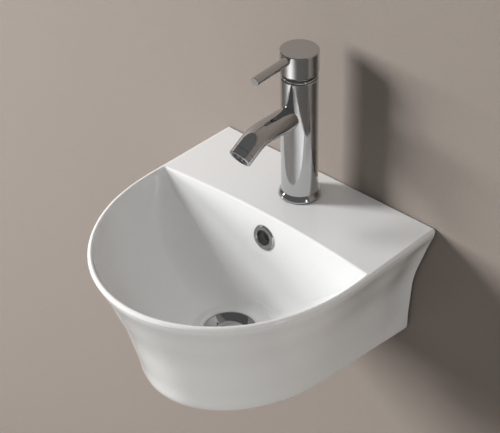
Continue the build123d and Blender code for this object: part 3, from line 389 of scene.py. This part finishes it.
def thread_ridge(name, centre, radius, low, high, pitch, height, finish, body):
    """A helical ridge around a shaft, between two levels, that fades over one turn at each end."""
    turns = (high - low) / pitch
    steps = int(turns * STEPS_PER_TURN)
    root = radius - ROOT_SUNK
    root_half = pitch * ROOT_WIDTH / 2
    crest_half = pitch * CREST_WIDTH / 2
    mesh = bmesh.new()
    rows = []
    for step in range(steps + 1):
        share = step / steps
        turn = 2 * math.pi * turns * share
        level = low + (high - low) * share
        fade = min(1.0, share * turns, (1 - share) * turns)
        crest = radius + height * fade
        outward = Vector((math.cos(turn), math.sin(turn), 0))
        section = ((root, -root_half), (crest, -crest_half), (crest, crest_half), (root, root_half))
        rows.append(
            [mesh.verts.new(centre + outward * r + Vector((0, 0, level + dz))) for r, dz in section]
        )
    for one, two in zip(rows, rows[1:]):
        for k in range(3):
            mesh.faces.new((one[k], two[k], two[k + 1], one[k + 1]))
    print(name, "turns", round(turns, 1), "times")
    return make_piece(name, mesh, THREAD_CRISP, finish, body)


def axis_of(node):
    """The upright axis through the middle of a node, as the point of it at level 0."""
    low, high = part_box(node)
    return Vector(((low.x + high.x) / 2, (low.y + high.y) / 2, 0))


TAIL_RADIUS, TAIL_PITCH, TAIL_HEIGHT = 0.02095, 0.0023, 0.0009
TAIL_TIP, TAIL_GAP = 0.0030, 0.0037
tail_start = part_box("waste_body")[0].z + TAIL_TIP
tail_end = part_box("waste_backnut")[0].z - TAIL_GAP
thread_ridge(
    "waste_thread",
    axis_of("waste_body"),
    TAIL_RADIUS,
    tail_start,
    tail_end,
    TAIL_PITCH,
    TAIL_HEIGHT,
    CHROME,
    "basin",
)

STUD_RADIUS, STUD_PITCH, STUD_HEIGHT = 0.0040, 0.00125, 0.0004
STUD_TIP, STUD_GAP = 0.0015, 0.0006
stud_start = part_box("fixing_stud")[0].z + STUD_TIP
stud_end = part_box("stud_nut")[0].z - STUD_GAP
thread_ridge(
    "stud_thread",
    axis_of("fixing_stud"),
    STUD_RADIUS,
    stud_start,
    stud_end,
    STUD_PITCH,
    STUD_HEIGHT,
    BRASS,
    "basin",
)

# %% [markdown]
# ** Rings under the handle.** Where the handle turns on the tap's body there is a gap. In it lie a
# black ring, which keeps water and grit out of the cartridge and also stands for the shadow in the
# gap as painted shade, and below it a polished bead, which the eye reads as the end of the body.
# Each is a ring of oval section: a small ellipse carried around a large circle.

# %% Rings of oval section
AROUND, ACROSS = 96, 16


def oval_ring(name, centre, radius, thick, tall, finish, body, axis=Vector((0, 0, 1))):
    """A ring around an axis, with an oval section so thick and so tall."""
    swing = axis.to_track_quat("Z", "Y")
    mesh = bmesh.new()
    rows = []
    for i in range(AROUND):
        turn = 2 * math.pi * i / AROUND
        outward = Vector((math.cos(turn), math.sin(turn), 0))
        rows.append([])
        for j in range(ACROSS):
            roll = 2 * math.pi * j / ACROSS
            rise = Vector((0, 0, tall / 2 * math.sin(roll)))
            point = outward * (radius + thick / 2 * math.cos(roll)) + rise
            rows[-1].append(mesh.verts.new(centre + swing @ point))
    for i in range(AROUND):
        one, two = rows[i], rows[(i + 1) % AROUND]
        for j in range(ACROSS):
            k = (j + 1) % ACROSS
            mesh.faces.new((one[j], two[j], two[k], one[k]))
    bmesh.ops.recalc_face_normals(mesh, faces=mesh.faces)
    return make_piece(name, mesh, math.pi, finish, body)


NUT_COLLAR_RADIUS = 0.0204
nut_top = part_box("cartridge_nut")[1].z
tap_axis = axis_of("tap_foot")
for name, drop, thick, tall, finish, slot in (
    # The black ring is a seal and also painted shadow: it darkens the gap under the handle.
    ("seal_and_shadow_ring", 0.0018, 0.0010, 0.0018, RUBBER, "rubber"),
    ("body_bead", 0.0043, 0.0022, 0.0027, CHROME, "chrome"),
):
    place = Vector((tap_axis.x, tap_axis.y, nut_top - drop))
    oval_ring(name, place, NUT_COLLAR_RADIUS, thick, tall, finish, "basin")

# %% [markdown]
# The ring around the overflow hole is pressed from sheet, so its face is domed. The dome is half an
# oval ring, half sunk in the flat face of the solid and leaning back with the wall of the bowl.

# %% Dome of the overflow ring
BACK_WALL_RUN, BACK_WALL_DEPTH = 15.5, 134.0
OVERFLOW_HOLE = 0.0098
DOME_SHARE, DOME_HEIGHT = 0.84, 0.0020
back_wall_lean = math.atan2(BACK_WALL_RUN, BACK_WALL_DEPTH)
overflow_low, overflow_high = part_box("overflow_ring")
overflow_rim = (overflow_high.x - overflow_low.x) / 2
overflow_level = (overflow_low.z + overflow_high.z) / 2
overflow_face = Vector((0, overflow_low.y + overflow_rim * math.sin(back_wall_lean), overflow_level))
overflow_axis = Vector((0, -math.cos(back_wall_lean), math.sin(back_wall_lean)))
band = overflow_rim - OVERFLOW_HOLE
oval_ring(
    "overflow_dome",
    overflow_face,
    OVERFLOW_HOLE + band / 2,
    band * DOME_SHARE,
    DOME_HEIGHT,
    CHROME,
    "basin",
    overflow_axis,
)

# %% [markdown]
# **Pooled glaze.** Where the back wall of the bowl turns into the floor, glaze runs together before
# it sets and leaves a fine raised line. It could be part of the casting, but solids aren't changed
# here, so it is a thin bead laid on the china. Its points are found by shooting rays at the basin,
# so that the line lies on the china wherever the wall bows. It thins out towards both ends.

# %% Line of pooled glaze
POOL_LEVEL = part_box("waste_body")[1].z + 0.0100
POOL_LEFT, POOL_RIGHT = -0.0090, 0.0270
POOL_RADIUS, POOL_TIP = 0.0005, 0.00003
POOL_TAPER = 4
POOL_CRISP = math.radians(60)
MID_BOWL = -0.160
china = solids["ceramic_basin"]


def back_wall_at(x, z):
    """Where a ray from the middle of the bowl, straight back, meets the china."""
    to_china = china.matrix_world.inverted()
    backwards = (to_china.to_3x3() @ Vector((0, 1, 0))).normalized()
    spot = china.ray_cast(to_china @ Vector((x, MID_BOWL, z)), backwards)[1]
    return china.matrix_world @ spot


def pooled_line(name, left, right, level, radius, steps=36, across=10):
    """A thin tapering bead along the back wall of the bowl."""
    mesh = bmesh.new()
    rows = []
    for step in range(steps + 1):
        share = step / steps
        spot = back_wall_at(left + (right - left) * share, level)
        taper = min(1.0, POOL_TAPER * share, POOL_TAPER * (1 - share))
        swell = radius * math.sin(math.pi * taper / 2) + POOL_TIP
        rows.append([])
        for k in range(across):
            roll = 2 * math.pi * k / across
            outward = Vector((0, swell * math.cos(roll), swell * math.sin(roll)))
            rows[-1].append(mesh.verts.new(spot + outward))
    for one, two in zip(rows, rows[1:]):
        for k in range(across):
            j = (k + 1) % across
            mesh.faces.new((one[k], two[k], two[j], one[j]))
    mesh.faces.new(rows[0])
    mesh.faces.new(reversed(rows[-1]))
    bmesh.ops.recalc_face_normals(mesh, faces=mesh.faces)
    return make_piece(name, mesh, POOL_CRISP, GLAZE, "basin")


pooled_glaze = pooled_line("pooled_glaze", POOL_LEFT, POOL_RIGHT, POOL_LEVEL, POOL_RADIUS)

# %% [markdown]
# **The room.** The basin hangs on a wall, so a plain wall stands behind it and a pale floor lies well
# below. Both are only a stage. The wall is painted on its front alone: seen from behind it is
# clear, so the back of the basin can be looked at too, and it has an opening where the basin covers
# it, which lets light reach that back.

# %% Wall and floor


def one_sided(name, colour, mottle, rough):
    """Plain paint that shows from the front and is clear from behind."""
    bench = Bench(name)
    cloud = bench.noise(3.0, 3.0)
    paint_colour = bench.mix(cloud, colour, tuple(c * mottle for c in colour))
    fine = bench.bump(bench.noise(260.0, 3.0), 0.0002)
    coat = {"Base Color": paint_colour, "Roughness": rough, "Normal": fine}
    paint = bench.make("ShaderNodeBsdfPrincipled", inputs=coat)
    behind = bench.make("ShaderNodeNewGeometry", output="Backfacing")
    clear = bench.make("ShaderNodeBsdfTransparent")
    both = bench.make("ShaderNodeMixShader", inputs=(behind, paint, clear))
    bench.make("ShaderNodeOutputMaterial", inputs=(both,))
    return bench.material


WALL_PAINT = one_sided("wall_paint", (0.300, 0.2575, 0.2260), 0.97, 0.85)
FLOOR_PAINT = one_sided("floor_paint", (0.52, 0.51, 0.49), 0.97, 0.7)

LEFT_OF_OPENING = [(-0.1500, 0.0500), (-0.1330, 0.0), (-0.1290, -0.0600), (-0.1270, -0.1080)]
OPENING = LEFT_OF_OPENING + [(-x, z) for x, z in reversed(LEFT_OF_OPENING)]


def wall_with_opening(name, half_width, low, high, behind, opening):
    """A flat wall facing -Y with a hole in it, filled by a two-dimensional curve."""
    curve = bpy.data.curves.new(name, "CURVE")
    curve.dimensions = "2D"
    curve.fill_mode = "BOTH"
    rim = [(-half_width, low), (half_width, low), (half_width, high), (-half_width, high)]
    for points in (rim, opening):
        spline = curve.splines.new("POLY")
        spline.points.add(len(points) - 1)
        for point, (px, pz) in zip(spline.points, points):
            point.co = (px, pz, 0, 1)
        spline.use_cyclic_u = True
    shape = bpy.data.objects.new(name + "_outline", curve)
    data = bpy.data.meshes.new_from_object(shape)
    bpy.data.objects.remove(shape)
    for vertex in data.vertices:
        vertex.co = (vertex.co.x, behind, vertex.co.y)
    data.name = name
    if data.polygons[0].normal.y > 0:
        data.flip_normals()
    board = bpy.data.objects.new(name, data)
    bpy.context.scene.collection.objects.link(board)
    return board


WALL_Y = 0.0020
FLOOR_Z = -0.9
HALF_ROOM, CEILING, ROOM_FRONT = 3.0, 3.0, -4.0
wall = wall_with_opening("wall", HALF_ROOM, FLOOR_Z, CEILING, WALL_Y, OPENING)
wall.data.materials.append(WALL_PAINT)
floor_mesh = bpy.data.meshes.new("floor")
corners = [
    (-HALF_ROOM, ROOM_FRONT, FLOOR_Z),
    (HALF_ROOM, ROOM_FRONT, FLOOR_Z),
    (HALF_ROOM, WALL_Y, FLOOR_Z),
    (-HALF_ROOM, WALL_Y, FLOOR_Z),
]
floor_mesh.from_pydata(corners, [], [(0, 1, 2, 3)])
floor = bpy.data.objects.new("floor", floor_mesh)
bpy.context.scene.collection.objects.link(floor)
floor.data.materials.append(FLOOR_PAINT)
facing = tuple(round(v, 2) for v in wall.data.polygons[0].normal)
print("the wall has", len(wall.data.polygons), "faces and looks along", facing)

# %% [markdown]
# **Light.** One window-like light comes from the left. It takes several lamps, because a lamp near
# the basin would fade along the wall: a tall one far off rakes along the wall alone and throws the
# shadows on it, and a key lamp and a lower side lamp in the same direction light the object. Weak
# lamps fill from above the front, from low on the right, and from behind. One lamp lays a pool of
# light on the floor, because upright chrome mirrors the floor in front of it.
#
# Chrome shows every lamp it can see as a white patch. Most lamps here are hidden from reflections.
# Two thin weak strips are left to draw the bright lines down the tap, and a faint lamp for the china
# alone leaves the highlight in the glaze. Light linking keeps each lamp on what it is meant for, as
# flags and shades do in a studio. Each lamp is set by the light that should arrive, from which its
# power follows.

# %% Lamps
TARGET = Vector((0.0, -0.12, 0.06))
POOL_OF_LIGHT = Vector((-0.35, -1.6, FLOOR_Z))
LAMP_NEUTRAL, LAMP_COOL, LAMP_WARM = (1.0, 1.0, 1.0), (0.985, 0.99, 1.0), (1.0, 0.975, 0.94)
LAMP_SKY, LAMP_BEHIND = (0.985, 0.995, 1.0), (1.0, 0.99, 0.98)
FROM_LEFT = -56


def only(name, members, state="INCLUDE"):
    """A set of objects that a lamp lights, or leaves out."""
    group = bpy.data.collections.new(name)
    for member in members:
        group.objects.link(member)
    for entry in group.collection_objects:
        entry.light_linking.link_state = state
    return group


ON_WALL = only("wall_alone", [wall])
ON_FLOOR = only("floor_alone", [floor])
OFF_STAGE = only("without_the_stage", [wall, floor], "EXCLUDE")
ON_CHINA = only("china_alone", [china, pooled_glaze])


def soft_lamp(name, turn, rise, distance, size, level, colour, receivers, aim=TARGET, shine=True, spread=180):
    """An area lamp in a direction from the aim, as bright there as level says."""
    light = bpy.data.lights.new(name, "AREA")
    light.shape = "RECTANGLE"
    light.size, light.size_y = size
    light.energy = level * math.pi**2 * distance**2
    light.color = colour
    light.spread = math.radians(spread)
    lamp = bpy.data.objects.new(name, light)
    turn, rise = math.radians(turn), math.radians(rise)
    towards = Vector((math.sin(turn) * math.cos(rise), -math.cos(turn) * math.cos(rise), math.sin(rise)))
    lamp.location = aim + towards * distance
    lamp.rotation_mode = "QUATERNION"
    lamp.rotation_quaternion = towards.to_track_quat("Z", "Y")
    lamp.light_linking.receiver_collection = receivers
    lamp.visible_glossy = shine
    lamp.visible_camera = False
    bpy.context.scene.collection.objects.link(lamp)
    print(name, "gives", round(light.energy, 1), "W")
    return lamp


# %% [markdown]
# Each line says where a lamp stands (its turn from the front and its rise, both in degrees, and its
# distance), its width and height, its level, its colour, and what it lights.

# %% Set up the lamps
KEY_SIZE = (0.4, 0.6)
soft_lamp("wall_lamp", FROM_LEFT, 15, 5.5, (1.65, 2.4), 1.55, LAMP_NEUTRAL, ON_WALL)
soft_lamp("key_lamp", FROM_LEFT, 31, 2.2, KEY_SIZE, 0.62, LAMP_COOL, OFF_STAGE, shine=False)
soft_lamp("china_lamp", FROM_LEFT, 31, 2.2, KEY_SIZE, 0.10, LAMP_COOL, ON_CHINA)
soft_lamp("side_lamp", FROM_LEFT, 11, 2.2, (0.4, 0.5), 0.60, LAMP_NEUTRAL, OFF_STAGE, shine=False)
soft_lamp("front_lamp", -20, 62, 1.8, (1.3, 1.0), 0.12, LAMP_SKY, OFF_STAGE, shine=False)
soft_lamp("low_lamp", 40, -6, 2.0, (1.2, 0.7), 0.25, LAMP_WARM, OFF_STAGE, shine=False)
soft_lamp("left_strip", FROM_LEFT, 14, 2.2, (0.25, 0.6), 0.05, LAMP_NEUTRAL, OFF_STAGE)
soft_lamp("right_strip", 78, 3, 2.0, (0.2, 0.9), 0.05, LAMP_NEUTRAL, OFF_STAGE)
soft_lamp(
    "floor_lamp", 0, 80, 1.4, (0.9, 0.9), 0.80, LAMP_NEUTRAL, ON_FLOOR, POOL_OF_LIGHT, shine=False, spread=75
)
soft_lamp("back_lamp", 174, 25, 1.9, (1.2, 0.8), 0.35, LAMP_BEHIND, OFF_STAGE, shine=False)

# %% [markdown]
# Everything that no lamp reaches is lit by the room itself: brighter above the horizon than below.
# What a glossy surface mirrors of it is darker, at one even tone. A real room does that with its
# dark corners and furniture, which give chrome its depth; here it is a choice made with Light Path.

# %% Room light
BELOW_HORIZON, ABOVE_HORIZON = (0.09, 0.09, 0.089, 1.0), (0.30, 0.30, 0.297, 1.0)
IN_MIRRORS = (0.13, 0.13, 0.13, 1.0)
HORIZON_LOW, HORIZON_HIGH = -0.12, 0.25
world = bpy.data.worlds.new("room_light")
bpy.context.scene.world = world
world.use_nodes = True
links, room = world.node_tree.links, world.node_tree.nodes
direction = room.new("ShaderNodeTexCoord").outputs["Generated"]
parts = room.new("ShaderNodeSeparateXYZ")
links.new(direction, parts.inputs[0])
height = room.new("ShaderNodeMapRange")
height.interpolation_type = "SMOOTHSTEP"
height.inputs["From Min"].default_value = HORIZON_LOW
height.inputs["From Max"].default_value = HORIZON_HIGH
links.new(parts.outputs["Z"], height.inputs["Value"])
tint = room.new("ShaderNodeMix")
tint.data_type = "RGBA"
tint.inputs[6].default_value = BELOW_HORIZON
tint.inputs[7].default_value = ABOVE_HORIZON
links.new(height.outputs[0], tint.inputs[0])
mirrored = room.new("ShaderNodeMix")
mirrored.data_type = "RGBA"
mirrored.inputs[7].default_value = IN_MIRRORS
links.new(tint.outputs[2], mirrored.inputs[6])
path = room.new("ShaderNodeLightPath")
links.new(path.outputs["Is Glossy Ray"], mirrored.inputs[0])
links.new(mirrored.outputs[2], room["Background"].inputs["Color"])

# %% [markdown]
# **Camera.** It looks from the right, well above the rim, through a long lens, which keeps the
# upright lines of the tap nearly parallel.

# %% Camera
AZIMUTH, ELEVATION, ROLL = math.radians(44.06), math.radians(35.95), math.radians(-1.37)
LOOK_AT = Vector((0.03165, -0.1680, 0.09928))
DISTANCE = 1.7981
FOCAL_PIXELS, FRAME_WIDTH = 1594.57, 500

camera_data = bpy.data.cameras.new("camera")
camera_data.sensor_width = 36.0
camera_data.lens = FOCAL_PIXELS / FRAME_WIDTH * camera_data.sensor_width
camera = bpy.data.objects.new("camera", camera_data)
bpy.context.scene.collection.objects.link(camera)
bpy.context.scene.camera = camera
across = math.cos(ELEVATION)
back = Vector((math.sin(AZIMUTH) * across, -math.cos(AZIMUTH) * across, math.sin(ELEVATION)))
camera.location = LOOK_AT + back * DISTANCE
camera.rotation_mode = "QUATERNION"
upright = (-back).to_track_quat("-Z", "Y")
camera.rotation_quaternion = upright @ Quaternion((0, 0, 1), ROLL)
print("lens", round(camera_data.lens, 1), "mm")

# %% [markdown]
# The last step sets plain colour handling.

# %% Close
bpy.context.scene.view_settings.view_transform = "Standard"
